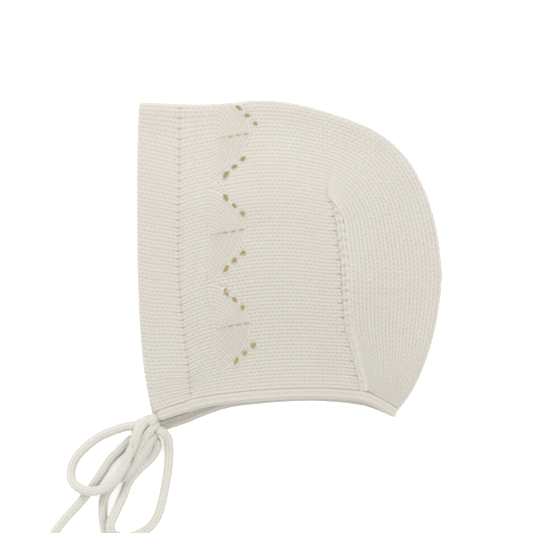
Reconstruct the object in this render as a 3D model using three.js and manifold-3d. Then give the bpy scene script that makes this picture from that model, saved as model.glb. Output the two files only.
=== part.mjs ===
import * as THREE from 'three';
import { mergeVertices } from 'three/addons/utils/BufferGeometryUtils.js';
import Module from 'manifold-3d';

// A hand-knitted baby bonnet lying on its right side, with its ties in a bow.
// X runs from the face opening to the back of the head, Y from the neck to the crown,
// and Z up from the surface that it lies on.

// Driving sizes in millimetres
const bonnetDepth = 143;
const bonnetHeight = 156;
const wall = 1.8;
const seamGap = 0.35;
const foldRadius = 4;
const hemThickness = 3.2;
const hemRoundness = 0.5;
const bandHeight = 4.6;
const bandThickness = 3.4;
const bandInset = 0.6;
const seamWidth = 4.7;
const seamProud = 0.5;
const seamClearance = 0.55;
const cordDiameter = 4.7;
const socketGap = 0.3;

// How far the upper layer rises over the lower one, and how far in from each edge it gets there
const puff = { height: 17, fromFold: 52, fromFace: 55, fromNeck: 60, atEdges: 0.45 };
const cornerPuff = { height: 1.5, radius: 9, along: 0.668, up: 0.766 };

// Lace: each eyelet is one stitch higher and two courses further back than the last
const eyelet = {
  length: 2.5, width: 1.6, perArm: 3, firstRise: 5.4, riseStep: 3.7, runStep: 3.95, tilt: 40, sink: 1.8,
};

// Shares of bonnetDepth, against the share of the way up from the neck edge to the fold
const faceLines = [
  { up: 0.00, edge: 0.0556, groove: 0.1750 },
  { up: 0.06, edge: 0.0410, groove: 0.1715 },
  { up: 0.12, edge: 0.0280, groove: 0.1680 },
  { up: 0.20, edge: 0.0155, groove: 0.1600 },
  { up: 0.30, edge: 0.0080, groove: 0.1480 },
  { up: 0.42, edge: 0.0030, groove: 0.1375 },
  { up: 0.55, edge: 0.0008, groove: 0.1345 },
  { up: 0.75, edge: 0.0000, groove: 0.1370 },
  { up: 0.90, edge: 0.0013, groove: 0.1375 },
  { up: 1.00, edge: 0.0046, groove: 0.1378 },
];

// The fold along the top: along is a share of bonnetDepth, up of bonnetHeight
const crownFold = [
  { along: 0.000, up: 0.9937 },
  { along: 0.090, up: 0.9916 },
  { along: 0.205, up: 0.9880 },
  { along: 0.297, up: 0.9922 },
  { along: 0.399, up: 1.0000 },
  { along: 0.508, up: 0.9922 },
  { along: 0.6193, up: 0.9675 },
];

// The neck edge of the upper layer, and how much lower the other layer's edge lies
const neckEdge = [
  { along: 0.050, up: 0.0600, drop: 0.036 },
  { along: 0.093, up: 0.0744, drop: 0.036 },
  { along: 0.146, up: 0.0898, drop: 0.036 },
  { along: 0.205, up: 0.1060, drop: 0.030 },
  { along: 0.287, up: 0.1181, drop: 0.017 },
  { along: 0.402, up: 0.1286, drop: 0.013 },
  { along: 0.534, up: 0.1346, drop: 0.011 },
  { along: 0.649, up: 0.1331, drop: 0.012 },
  { along: 0.744, up: 0.1241, drop: 0.013 },
];

// The seam from the corner of the back panel down to the neck
const seamCorner = { along: 0.6193, up: 0.7130, wales: 0.694 };
const seamLine = [
  { down: 0.000, along: 0.6193 },
  { down: 0.047, along: 0.6407 },
  { down: 0.130, along: 0.6604 },
  { down: 0.228, along: 0.6686 },
  { down: 0.357, along: 0.6782 },
  { down: 0.503, along: 0.6824 },
  { down: 0.596, along: 0.6867 },
  { down: 0.679, along: 0.6933 },
  { down: 0.762, along: 0.7081 },
  { down: 0.845, along: 0.7212 },
  { down: 0.925, along: 0.7344 },
  { down: 1.000, along: 0.7442 },
];
const seamTaper = 0.13;
const ridgeStart = 0.075;

// The strip that turns round the corner and runs down the back: where each of its courses
// starts on the seam, and ends on the fold
const backStrip = [
  { station: 0, down: 0.000, along: 0.6193, up: 0.9675 },
  { station: 1, down: 0.012, along: 0.7212, up: 0.9343 },
  { station: 2, down: 0.030, along: 0.8100, up: 0.8922 },
  { station: 3, down: 0.060, along: 0.8889, up: 0.8229 },
  { station: 4, down: 0.120, along: 0.9448, up: 0.7295 },
  { station: 5, down: 0.210, along: 0.9809, up: 0.6211 },
  { station: 6, down: 0.360, along: 1.0000, up: 0.4886 },
  { station: 7, down: 0.520, along: 0.9941, up: 0.3982 },
  { station: 8, down: 0.670, along: 0.9744, up: 0.2988 },
  { station: 9, down: 0.810, along: 0.9431, up: 0.2084 },
  { station: 10, down: 0.930, along: 0.9004, up: 0.1301 },
  { station: 11, down: 1.000, along: 0.8560, up: 0.0699 },
];

// The points of the lace's arrowheads: along is that of the first eyelet, arms are those that are open
const laceRows = [
  { along: 0.3235, up: 1.0200, arms: [-1] },
  { along: 0.2910, up: 0.7386, arms: [-1, 1] },
  { along: 0.2925, up: 0.4584, arms: [-1, 1] },
  { along: 0.3250, up: 0.1813, arms: [1] },
];

// Cords, as points in millimetres from the middle of the bonnet's underside
const route = {
  frontLoop: [
    [-72.8, -75.2, 7.4], [-77.6, -75.6, 6.4], [-85.4, -78.4, 4], [-91.2, -81.4, 2.6], [-97.2, -86.2, 2.4],
    [-101.2, -91, 2.4], [-103.2, -96.4, 2.6], [-102.6, -101.2, 4.4], [-99, -104.6, 6.8],
    [-93, -105.9, 7.8], [-87.2, -104.4, 7.8], [-82.4, -100.8, 7.8], [-78.8, -95.6, 7.8],
    [-76, -89.4, 8], [-73.6, -84, 8.2],
  ],
  backLoop: [
    [-63, -76.8, 8.2], [-59.8, -78, 8], [-57.4, -81.4, 5.6], [-56.9, -86, 3.2], [-57, -92, 2.4],
    [-58, -100, 2.4],
    [-60.4, -112, 2.4], [-63.2, -119.6, 2.4], [-68.4, -125, 2.4], [-77, -128.3, 2.7],
    [-83.2, -126.2, 5.2], [-84.4, -121.8, 7], [-82.6, -117.2, 6.2], [-78.9, -109.2, 3.6],
    [-76, -102, 2.4], [-71.4, -96.2, 2.4], [-65.4, -90.4, 2.4], [-62.6, -84.8, 3.4],
    [-64, -80.6, 4.6],
  ],
  frontEnd: [
    [-73.4, -80.4, 4.4], [-78.8, -85.8, 2.6], [-84.4, -91.2, 2.4], [-88.6, -97.4, 2.4], [-92.4, -103, 2.4],
    [-96, -108, 2.4], [-100.4, -113.2, 2.4], [-105.4, -118.6, 2.4], [-110, -124.4, 2.4], [-113.6, -130.4, 2.4],
  ],
  backEnd: [
    [-70.6, -84.2, 3.2], [-73.4, -89.8, 2.4], [-77.6, -96, 2.4], [-83.2, -102.4, 2.4], [-87, -108.2, 2.4],
    [-88.2, -114.2, 2.4], [-87.8, -121.4, 2.4], [-86.6, -128.2, 2.4], [-86, -135, 2.4],
  ],
};
const tie = {
  left: [[-63.4, -70.9, 9.9], [-64.8, -72.4, 9.7], [-66.4, -74.6, 9]],
  right: [[-63.4, -75.6, 2.4], [-64.8, -76.4, 2.5], [-66.4, -77.2, 2.7]],
};
const knot = {
  core: { at: [-68.4, -78, 5.9], radii: [8, 5.2, 5.6], turn: 48 },
  wrap: [[-66.8, -81.4, 8], [-66, -78.4, 10.4], [-68, -75.2, 10.8], [-71, -74.2, 9], [-73, -76.4, 5.6]],
};

// How finely the curved surfaces are divided
const count = {
  sideRows: 12, crownRows: 5, foldRows: 6, panelColumns: 18, stripColumns: 22, hemRows: 14, bandPieces: 14,
};
const cordSides = 8;

const wasm = await Module();
wasm.setup();

const lerp = THREE.MathUtils.lerp;
const ramp = (value) => THREE.MathUtils.smoothstep(value, 0, 1);
const span = (n) => Array.from({ length: n + 1 }, (_, k) => k / n);

// A smooth curve through one column of a table
function follow(table, key, column, at) {
  const last = table.length - 1;
  const value = THREE.MathUtils.clamp(at, table[0][key], table[last][key]);
  let k = 0;
  while (k < last - 1 && value > table[k + 1][key]) k += 1;
  const slope = (a, b) => (table[b][column] - table[a][column]) / (table[b][key] - table[a][key]);
  const width = table[k + 1][key] - table[k][key];
  const s = (value - table[k][key]) / width;
  const leaving = slope(Math.max(k - 1, 0), k + 1) * width;
  const arriving = slope(k, Math.min(k + 2, last)) * width;
  return (2 * s ** 3 - 3 * s ** 2 + 1) * table[k][column] + (s ** 3 - 2 * s ** 2 + s) * leaving
    + (3 * s ** 2 - 2 * s ** 3) * table[k + 1][column] + (s ** 3 - s ** 2) * arriving;
}

// Millimetres from shares, with the origin under the middle of the bonnet
const toX = (along) => (along - 0.5) * bonnetDepth;
const toY = (up) => (up - 0.5) * bonnetHeight;
const toAlong = (x) => x / bonnetDepth + 0.5;
const foldY = (x) => toY(follow(crownFold, 'along', 'up', toAlong(x)));
const neckY = (x) => toY(follow(neckEdge, 'along', 'up', toAlong(x)));
const neckDrop = (x) => follow(neckEdge, 'along', 'drop', toAlong(x)) * bonnetHeight;
const edgeX = (v) => toX(follow(faceLines, 'up', 'edge', v));
const grooveX = (v) => toX(follow(faceLines, 'up', 'groove', v));

// The seam's middle and half width at a share of the way down it
function seamAt(down) {
  const x = toX(follow(seamLine, 'down', 'along', down));
  const cornerY = toY(seamCorner.up);
  const y = lerp(cornerY, neckY(toX(seamLine.at(-1).along)), down);
  return { x, y, half: (seamWidth / 2) * ramp(down / seamTaper) };
}

// Where the side panel ends: at the seam below the corner, straight above it
function panelEndX(v) {
  if (v >= seamCorner.wales) return toX(seamCorner.along);
  const seam = seamAt(1 - v / seamCorner.wales);
  return seam.x - seam.half;
}

// The fold's outline, over the crown and down the back
const foldLine = [
  ...span(count.panelColumns).map((s) => lerp(toX(0), toX(seamCorner.along), s)).map((x) => [x, foldY(x)]),
  ...span(2 * count.stripColumns).slice(1).map((s) => s * (backStrip.length - 1))
    .map((at) => ['along', 'up'].map((column) => follow(backStrip, 'station', column, at)))
    .map(([along, up]) => [toX(along), toY(up)]),
];

function distanceToFold(x, y) {
  return Math.min(...foldLine.slice(1).map(([bx, by], k) => {
    const [ax, ay] = foldLine[k];
    const [dx, dy] = [bx - ax, by - ay];
    const s = THREE.MathUtils.clamp(((x - ax) * dx + (y - ay) * dy) / (dx * dx + dy * dy), 0, 1);
    return Math.hypot(x - ax - s * dx, y - ay - s * dy);
  }));
}

// The height that the upper layer has gained over the fold
function rise(x, y) {
  const share = (distance, reach) => lerp(puff.atEdges, 1, ramp(distance / reach));
  const dome = puff.height * ramp(distanceToFold(x, y) / puff.fromFold)
    * share(x - toX(0), puff.fromFace) * share(y - neckY(x), puff.fromNeck);
  const away = Math.hypot(x - toX(cornerPuff.along), y - toY(cornerPuff.up)) / cornerPuff.radius;
  return dome + cornerPuff.height * Math.exp(-away * away);
}

// A point of the layer: plan gives x and y for a share of the way to the fold, reach the length of
// that way, row which part of the round trip from one neck edge to the other it is on
function layerPoint(plan, reach, row, depth) {
  const shareToFold = 1 - foldRadius / reach;
  if (row.angle === undefined) {
    const [x, y] = plan(row.at(shareToFold), row.lower);
    return [x, y, row.lower ? depth : 2 * foldRadius + rise(x, y) - depth];
  }
  const radius = foldRadius - depth;
  const fromFold = foldRadius - radius * Math.sin(row.angle);
  const [x, y] = plan(1 - fromFold / reach, row.lower);
  const gained = rise(x, y) * (1 + Math.cos(row.angle)) / 2;
  return [x, y, foldRadius + radius * Math.cos(row.angle) + gained];
}

const foldAngles = span(count.foldRows).slice(1, -1).map((s) => s * Math.PI);
const foldRows = foldAngles.map((angle) => ({ angle, lower: angle > Math.PI / 2 }));
const oneLayer = (ways) => (lower) => ways.map((at) => ({ at, lower }));

// Rows from the upper neck edge over the fold to the lower one
function roundTrip(ways) {
  const rows = oneLayer(ways);
  return [...rows(false), ...foldRows, ...rows(true).reverse()];
}

const sideWays = span(count.sideRows).slice(0, -1).map((s) => () => s * seamCorner.wales);
const crownWays = span(count.crownRows).map((s) => (end) => lerp(seamCorner.wales, end, s));
const stripWays = span(count.crownRows).map((s) => (end) => s * end);
const panelRows = roundTrip([...sideWays, ...crownWays]);
const stripRows = roundTrip(stripWays);

// Plan of the side panel at x(v), and its length from the neck to the fold
function panelPlan(xOf) {
  return (v, lower) => {
    const x = xOf(v);
    const neck = neckY(x) - (lower ? neckDrop(x) : 0);
    return [x, lerp(neck, foldY(x), v)];
  };
}
const panelReach = (x) => foldY(x) - neckY(x);

// Plan of the back strip at a station, from the seam out to the fold
function stripPlan(station) {
  const last = backStrip.length - 1;
  const seam = seamAt(follow(backStrip, 'station', 'down', station));
  const outerX = toX(follow(backStrip, 'station', 'along', station));
  const outerY = toY(follow(backStrip, 'station', 'up', station));
  const innerX = seam.x + seam.half;
  const lowered = neckDrop(innerX) * (station / last) ** 3;
  return {
    reach: Math.hypot(outerX - innerX, outerY - seam.y),
    plan: (w, lower) => [
      lerp(innerX, outerX, w),
      lerp(seam.y, outerY, w) - (lower ? lowered * (1 - w) : 0),
    ],
  };
}

function geometryFrom(points, faces) {
  const geometry = new THREE.BufferGeometry();
  geometry.setAttribute('position', new THREE.Float32BufferAttribute(points.flat(), 3));
  geometry.setIndex(faces.flat());
  geometry.computeVertexNormals();
  return geometry;
}

// A closed wall from a lattice of points, of which some cells are left out
function wallFrom(outside, inside, hasCell) {
  const points = [];
  const number = new Map();
  const vertex = (i, j, layer) => {
    const key = `${i},${j},${layer}`;
    if (!number.has(key)) number.set(key, points.push((layer ? inside : outside)(i, j)) - 1);
    return number.get(key);
  };
  const faces = [];
  const quad = (a, b, c, d) => faces.push([a, b, c], [a, c, d]);
  const columns = count.panelColumns + count.stripColumns;
  const rows = panelRows.length - 1;
  for (let i = 0; i < columns; i += 1) {
    for (let j = 0; j < rows; j += 1) {
      if (!hasCell(i, j)) continue;
      const corners = [[i, j], [i + 1, j], [i + 1, j + 1], [i, j + 1]];
      quad(...corners.map(([a, b]) => vertex(a, b, 0)));
      quad(...corners.toReversed().map(([a, b]) => vertex(a, b, 1)));
      const beyond = [[i, j - 1], [i + 1, j], [i, j + 1], [i - 1, j]];
      beyond.forEach(([a, b], side) => {
        if (hasCell(a, b)) return;
        const [from, to] = [corners[side], corners[(side + 1) % 4]];
        quad(vertex(...to, 0), vertex(...from, 0), vertex(...from, 1), vertex(...to, 1));
      });
    }
  }
  return geometryFrom(points, faces);
}

// A closed solid through rings of points, each ring anticlockwise seen from the first ring's side
function loft(rings) {
  const sides = rings[0].length;
  const points = rings.flat();
  const faces = [];
  rings.slice(1).forEach((_, k) => {
    for (let m = 0; m < sides; m += 1) {
      const [a, b] = [k * sides + m, k * sides + (m + 1) % sides];
      faces.push([a, b, b + sides], [a, b + sides, a + sides]);
    }
  });
  [0, rings.length - 1].forEach((k) => {
    const middle = [0, 1, 2].map((c) => rings[k].reduce((sum, p) => sum + p[c], 0) / sides);
    const centre = points.push(middle) - 1;
    for (let m = 0; m < sides; m += 1) {
      const [a, b] = [k * sides + m, k * sides + (m + 1) % sides];
      faces.push(k === 0 ? [centre, b, a] : [centre, a, b]);
    }
  });
  const geometry = geometryFrom(points, faces);
  return volumeOf(geometry) > 0 ? geometry : geometryFrom(points, faces.map(([a, b, c]) => [a, c, b]));
}

function volumeOf(geometry) {
  const at = geometry.attributes.position;
  const index = geometry.index.array;
  const [a, b, c] = [new THREE.Vector3(), new THREE.Vector3(), new THREE.Vector3()];
  let sum = 0;
  for (let k = 0; k < index.length; k += 3) {
    a.fromBufferAttribute(at, index[k]);
    b.fromBufferAttribute(at, index[k + 1]);
    c.fromBufferAttribute(at, index[k + 2]);
    sum += a.dot(b.cross(c)) / 6;
  }
  return sum;
}

function toSolid(geometry) {
  const plain = geometry.clone();
  plain.deleteAttribute('normal');
  plain.deleteAttribute('uv');
  const merged = mergeVertices(plain, 1e-4);
  return new wasm.Manifold(new wasm.Mesh({
    numProp: 3,
    vertProperties: new Float32Array(merged.attributes.position.array),
    triVerts: new Uint32Array(merged.index.array),
  }));
}

function toGeometry(solid) {
  const mesh = solid.getMesh();
  const geometry = new THREE.BufferGeometry();
  geometry.setAttribute('position', new THREE.BufferAttribute(new Float32Array(mesh.vertProperties), 3));
  geometry.setIndex(new THREE.BufferAttribute(new Uint32Array(mesh.triVerts), 1));
  geometry.computeVertexNormals();
  return geometry;
}

// A point of the main fabric at a lattice column and row
function fabricPoint(column, row, depth) {
  if (column <= count.panelColumns) {
    const u = column / count.panelColumns;
    const xOf = (v) => lerp(grooveX(v) + seamGap / 2, panelEndX(v), u);
    return layerPoint(panelPlan(xOf), panelReach(xOf(seamCorner.wales)), panelRows[row], depth);
  }
  const station = (column - count.panelColumns) / count.stripColumns * (backStrip.length - 1);
  const { plan, reach } = stripPlan(station);
  return layerPoint(plan, reach, stripRows[row - count.sideRows], depth);
}

function eyeletTools() {
  const outline = new THREE.Shape();
  outline.absellipse(0, 0, eyelet.length / 2, eyelet.width / 2, 0, 2 * Math.PI);
  const tall = 2 * foldRadius + puff.height;
  return laceRows.flatMap((lace) => lace.arms.flatMap((arm) => span(eyelet.perArm - 1).flatMap((_, k) => {
    const x = toX(lace.along) + k * eyelet.runStep;
    const y = toY(lace.up) + arm * (eyelet.firstRise + k * eyelet.riseStep);
    const middle = foldRadius + rise(x, y) / 2;
    return [[middle, tall], [-eyelet.sink, wall + seamGap]].map(([bottom, top]) => {
      const depth = top - bottom;
      const tool = new THREE.ExtrudeGeometry(outline, { depth, curveSegments: 4, bevelEnabled: false });
      tool.rotateZ(THREE.MathUtils.degToRad(arm * eyelet.tilt));
      tool.translate(x, y, bottom);
      return toSolid(tool);
    });
  })));
}

function makeBody() {
  const rows = panelRows.length - 1;
  const hasCell = (i, j) => {
    if (i < 0 || j < 0 || j >= rows || i >= count.panelColumns + count.stripColumns) return false;
    return i < count.panelColumns || (j >= count.sideRows && j < rows - count.sideRows);
  };
  const shell = wallFrom((i, j) => fabricPoint(i, j, 0), (i, j) => fabricPoint(i, j, wall), hasCell);
  return toGeometry(eyeletTools().reduce((body, tool) => body.subtract(tool), toSolid(shell)));
}

// The doubled hem round the face: each ring is its outer face, its round edge and its inner face
function makeFrontBand() {
  const rows = roundTrip(span(count.hemRows).map((s) => (end) => s * end));
  // Shares of the way from the edge to the groove, and of the hem's thickness
  const across = [0.08, 0.36, 0.68, 1];
  const roundOff = [
    { back: hemRoundness, in: 0.16 }, { back: 0, in: 0.5 }, { back: hemRoundness, in: 0.84 },
  ];
  return loft(rows.map((row) => {
    const face = (s, depth) => {
      const xOf = (v) => lerp(edgeX(v), grooveX(v) - seamGap / 2, s);
      return layerPoint(panelPlan(xOf), panelReach(xOf(0.5)), row, depth);
    };
    const edge = roundOff.map((step) => {
      const [x, y, z] = face(0, step.in * hemThickness);
      return [x + step.back, y, z];
    });
    return [
      ...across.toReversed().map((s) => face(s, 0)),
      ...edge,
      ...across.map((s) => face(s, hemThickness)),
    ];
  }));
}

// Stations along the neck: the edge of the layer in plan, and the rows round the fold at the back
function neckStations() {
  const start = edgeX(0) + bandInset;
  const end = seamAt(1).x - seamWidth / 2;
  const last = stripPlan(backStrip.length - 1);
  const cornerShares = [0.25, 0.6, 1];
  const flat = (lower) => [
    ...span(count.bandPieces).map((s) => {
      const x = lerp(start, end, s);
      return { plan: (v) => panelPlan(() => x)(v, lower), reach: panelReach(x), share: 0, lower };
    }),
    ...cornerShares.map((share) => ({ plan: (v) => last.plan(v, lower), reach: last.reach, share, lower })),
  ];
  const bend = foldAngles.map((angle) => ({
    plan: last.plan, reach: last.reach, angle, lower: angle > Math.PI / 2,
  }));
  return [...flat(false), ...bend, ...flat(true).reverse()];
}

const bendStart = (stations) => stations.findIndex((station) => station.share === 1);

// The edge band: a rounded section hung from the neck edge, square to it
function makeNeckBand() {
  const stations = neckStations();
  const outer = (station, depth) => {
    const row = station.angle === undefined
      ? { at: (end) => station.share * end, lower: station.lower }
      : { angle: station.angle, lower: station.lower };
    return layerPoint(station.plan, station.reach, row, depth);
  };
  const line = stations.map((station) => outer(station, 0));
  // Shares of bandHeight and bandThickness
  const section = [
    { down: 0, in: 0.08 }, { down: 0.2, in: 0 }, { down: 0.8, in: 0 }, { down: 1, in: 0.3 },
    { down: 1, in: 0.7 }, { down: 0.8, in: 1 }, { down: 0.2, in: 1 }, { down: 0, in: 0.92 },
  ];
  return loft(stations.map((station, k) => {
    const bent = station.angle !== undefined || station.share === 1;
    const ahead = line[bent ? bendStart(stations) : Math.min(k + 1, line.length - 1)];
    const behind = line[bent ? bendStart(stations) - 1 : Math.max(k - 1, 0)];
    const run = [ahead[0] - behind[0], ahead[1] - behind[1]];
    const sign = run[0] < 0 ? -1 : 1;
    const long = Math.hypot(...run) * sign;
    const down = [run[1] / long, -run[0] / long];
    return section.map((step) => {
      const [x, y, z] = outer(station, step.in * bandThickness);
      const away = seamGap + step.down * bandHeight;
      return [x + down[0] * away, y + down[1] * away, z];
    });
  }));
}

// The ridge of stitches that joins the side panel to the back strip
function makeSeam(lower) {
  const proud = lower ? 0 : seamProud;
  const thick = wall + seamProud + proud;
  const section = [
    { side: -1, in: 0.3 }, { side: -0.6, in: 0 }, { side: 0.6, in: 0 }, { side: 1, in: 0.3 },
    { side: 1, in: 0.7 }, { side: 0.6, in: 1 }, { side: -0.6, in: 1 }, { side: -1, in: 0.7 },
  ];
  return loft(span(count.stripColumns).map((s) => {
    const down = lerp(ridgeStart, 1, s);
    const seam = seamAt(down);
    const y = seam.y - (lower ? neckDrop(seam.x) * down ** 3 : 0);
    const half = seam.half - seamClearance;
    const top = lower ? thick : 2 * foldRadius + rise(seam.x, y) + proud;
    return section.map((step) => [seam.x + step.side * half, y, top - step.in * thick]);
  }));
}

function makeCord(points, radius = cordDiameter / 2, stride = 2.4 * cordDiameter) {
  const path = new THREE.CatmullRomCurve3(points.map((p) => new THREE.Vector3(...p)));
  const steps = Math.max(3, Math.round(path.getLength() / stride));
  const circle = new THREE.Shape();
  circle.absarc(0, 0, radius, 0, 2 * Math.PI);
  return new THREE.ExtrudeGeometry(circle, { steps, extrudePath: path, curveSegments: cordSides });
}

// A cord's points with both ends drawn out by the socket's gap
function drawnOut(points) {
  const beyond = (end, next) => end.map((value, c) => {
    const away = Math.hypot(...end.map((e, m) => e - next[m]));
    return value + (value - next[c]) / away * socketGap;
  });
  return [beyond(points[0], points[1]), ...points.slice(1, -1), beyond(points.at(-1), points.at(-2))];
}

// The knot: the bundle of cords and the turn round it, hollowed where each cord goes in
function makeKnot() {
  const { at, radii, turn } = knot.core;
  const core = new THREE.SphereGeometry(1, 14, 9).scale(...radii);
  core.rotateZ(THREE.MathUtils.degToRad(turn)).translate(...at);
  const wrap = makeCord(knot.wrap, cordDiameter / 2, cordDiameter / 2);
  const cords = [...Object.values(route), ...Object.values(tie)];
  const sockets = cords.map((points) => toSolid(makeCord(drawnOut(points), cordDiameter / 2 + socketGap)));
  const bundle = toSolid(core).add(toSolid(wrap));
  return toGeometry(sockets.reduce((solid, socket) => solid.subtract(socket), bundle));
}

const yarn = new THREE.MeshStandardMaterial({ color: 0xe8e2d4, roughness: 0.92, metalness: 0 });
const cordYarn = new THREE.MeshStandardMaterial({ color: 0xeeeae0, roughness: 0.9, metalness: 0 });

const bonnet = new THREE.Group();
function addPiece(name, geometry, material) {
  const mesh = new THREE.Mesh(geometry, material);
  mesh.name = name;
  bonnet.add(mesh);
}

addPiece('knit_body', makeBody(), yarn);
addPiece('front_band', makeFrontBand(), yarn);
addPiece('neck_band', makeNeckBand(), yarn);
addPiece('seam_left', makeSeam(false), yarn);
addPiece('seam_right', makeSeam(true), yarn);
addPiece('tie_left', makeCord(tie.left), cordYarn);
addPiece('tie_right', makeCord(tie.right), cordYarn);
addPiece('bow_knot', makeKnot(), cordYarn);
addPiece('bow_loop_front', makeCord(route.frontLoop), cordYarn);
addPiece('bow_loop_back', makeCord(route.backLoop), cordYarn);
addPiece('tie_end_front', makeCord(route.frontEnd), cordYarn);
addPiece('tie_end_back', makeCord(route.backEnd), cordYarn);

export default bonnet;
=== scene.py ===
import math

import bpy
import numpy as np
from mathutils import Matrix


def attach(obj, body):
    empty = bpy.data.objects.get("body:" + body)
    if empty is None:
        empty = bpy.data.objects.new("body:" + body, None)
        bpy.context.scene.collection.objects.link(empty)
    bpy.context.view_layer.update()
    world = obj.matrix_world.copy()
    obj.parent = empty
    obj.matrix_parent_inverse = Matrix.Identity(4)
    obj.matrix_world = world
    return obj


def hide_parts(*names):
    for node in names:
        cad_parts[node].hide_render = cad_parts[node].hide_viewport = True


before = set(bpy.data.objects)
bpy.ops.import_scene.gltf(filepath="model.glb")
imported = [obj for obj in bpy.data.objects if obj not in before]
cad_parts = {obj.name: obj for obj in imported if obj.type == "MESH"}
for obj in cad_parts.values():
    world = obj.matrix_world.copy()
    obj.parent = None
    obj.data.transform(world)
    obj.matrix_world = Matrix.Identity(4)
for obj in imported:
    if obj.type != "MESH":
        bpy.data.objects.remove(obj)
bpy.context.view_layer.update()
print("frame loaded")

# Sizes in millimetres: the bonnet lies on its right side, X from face to back, Y from neck to crown
bonnet = {"depth": 143, "height": 156, "foldRadius": 4.0}
puff = {"height": 17, "fromFold": 52, "fromFace": 55, "fromNeck": 60, "atEdges": 0.45}
cornerPuff = {"height": 1.5, "radius": 9, "along": 0.668, "up": 0.766}
seam = {"width": 4.1, "taper": 0.13, "cornerAlong": 0.6193, "cornerUp": 0.7130, "cornerShare": 0.683}
# The hem; dash and dashDark are the reach and strength of the painted shade at the groove
hem = {
    "thickness": 3.2, "courses": 19, "dip": 4.7, "dipReach": 15, "groove": 0.7, "grooveReach": 1.3,
    "dash": 1.9, "dashDark": 0.75, "flatness": 0.9, "overlap": 0.12,
}
gauge = {"course": 2.1, "slant": 0.55, "relief": 0.7, "uneven": 0.25, "sizes": (170, 90)}

# Shares of the depth against the share of the way from the neck edge to the fold
faceLines = {
    "up": [0.00, 0.06, 0.12, 0.20, 0.30, 0.42, 0.55, 0.75, 0.90, 1.00],
    "edge": [0.0556, 0.0410, 0.0280, 0.0155, 0.0080, 0.0030, 0.0008, 0.0000, 0.0013, 0.0046],
    "groove": [0.1750, 0.1715, 0.1680, 0.1600, 0.1480, 0.1375, 0.1345, 0.1370, 0.1375, 0.1378],
}
# along is a share of the depth, up and drop are shares of the height
crownFold = {
    "along": [0.000, 0.090, 0.205, 0.297, 0.399, 0.508, 0.6193],
    "up": [0.9937, 0.9916, 0.9880, 0.9922, 1.0000, 0.9922, 0.9675],
}
neckEdge = {
    "along": [0.050, 0.093, 0.146, 0.205, 0.287, 0.402, 0.534, 0.649, 0.744],
    "up": [0.0600, 0.0744, 0.0898, 0.1060, 0.1181, 0.1286, 0.1346, 0.1331, 0.1241],
    "drop": [0.036, 0.036, 0.036, 0.030, 0.017, 0.013, 0.011, 0.012, 0.013],
}
seamLine = {
    "down": [0.000, 0.047, 0.130, 0.228, 0.357, 0.503, 0.596, 0.679, 0.762, 0.845, 0.925, 1.000],
    "along": [
        0.6193, 0.6407, 0.6604, 0.6686, 0.6782, 0.6824, 0.6867, 0.6933, 0.7081, 0.7212, 0.7344, 0.7442,
    ],
}
# Each station of the back strip starts on the seam and ends on the fold
backStrip = {
    "station": [0, 1, 2, 3, 4, 5, 6, 7, 8, 9, 10, 11],
    "down": [0.000, 0.012, 0.030, 0.060, 0.120, 0.210, 0.360, 0.520, 0.670, 0.810, 0.930, 1.000],
    "along": [
        0.6193, 0.7222, 0.8110, 0.8889, 0.9448, 0.9809, 1.0000, 0.9946, 0.9756, 0.9455, 0.9070, 0.8620,
    ],
    "up": [
        0.9675, 0.9343, 0.8922, 0.8229, 0.7295, 0.6211, 0.4886, 0.3982, 0.2988, 0.2084, 0.1301, 0.0699,
    ],
}
lastStation = backStrip["station"][-1]


def ramp(value):
    value = np.clip(value, 0, 1)
    return value * value * (3 - 2 * value)


def lerp(start, end, share):
    return start + (end - start) * share


def resampled(at, travel, points):
    return np.stack([np.interp(at, travel, points[:, c]) for c in range(3)], 1)


# The value at each place of a smooth curve through one column of a table
def follow(table, key, column, at):
    keys, values = np.array(table[key], float), np.array(table[column], float)
    at = np.clip(at, keys[0], keys[-1])
    last = len(keys) - 1
    k = np.clip(np.searchsorted(keys, at, side="right") - 1, 0, last - 1)
    width = keys[k + 1] - keys[k]
    before, after = np.maximum(k - 1, 0), np.minimum(k + 2, last)
    leaving = (values[k + 1] - values[before]) / (keys[k + 1] - keys[before]) * width
    arriving = (values[after] - values[k]) / (keys[after] - keys[k]) * width
    s = (at - keys[k]) / width
    start = (2 * s**3 - 3 * s**2 + 1) * values[k] + (s**3 - 2 * s**2 + s) * leaving
    return start + (3 * s**2 - 2 * s**3) * values[k + 1] + (s**3 - s**2) * arriving


def toX(along):
    return (along - 0.5) * bonnet["depth"]


def toY(up):
    return (up - 0.5) * bonnet["height"]


def foldY(x):
    return toY(follow(crownFold, "along", "up", x / bonnet["depth"] + 0.5))


def neckY(x):
    return toY(follow(neckEdge, "along", "up", x / bonnet["depth"] + 0.5))


def neckDrop(x):
    return follow(neckEdge, "along", "drop", x / bonnet["depth"] + 0.5) * bonnet["height"]


def edgeX(v):
    return toX(follow(faceLines, "up", "edge", v))


def grooveX(v):
    return toX(follow(faceLines, "up", "groove", v))


# The seam's middle and half width at a share of the way down it
def seamAt(down):
    x = toX(follow(seamLine, "down", "along", down))
    y = lerp(toY(seam["cornerUp"]), neckY(toX(seamLine["along"][-1])), down)
    return x, y, seam["width"] / 2 * ramp(down / seam["taper"])


def foldOutline():
    x = np.linspace(toX(0), toX(seam["cornerAlong"]), 24)
    stations = np.linspace(0, lastStation, 50)[1:]
    backX = toX(follow(backStrip, "station", "along", stations))
    backY = toY(follow(backStrip, "station", "up", stations))
    return np.concatenate([np.stack([x, foldY(x)], 1), np.stack([backX, backY], 1)])


outline = foldOutline()


def distanceToFold(x, y):
    best = np.full(np.shape(x), 1e9)
    for start, end in zip(outline[:-1], outline[1:]):
        run = end - start
        s = np.clip(((x - start[0]) * run[0] + (y - start[1]) * run[1]) / (run @ run), 0, 1)
        best = np.minimum(best, np.hypot(x - start[0] - s * run[0], y - start[1] - s * run[1]))
    return best


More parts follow.
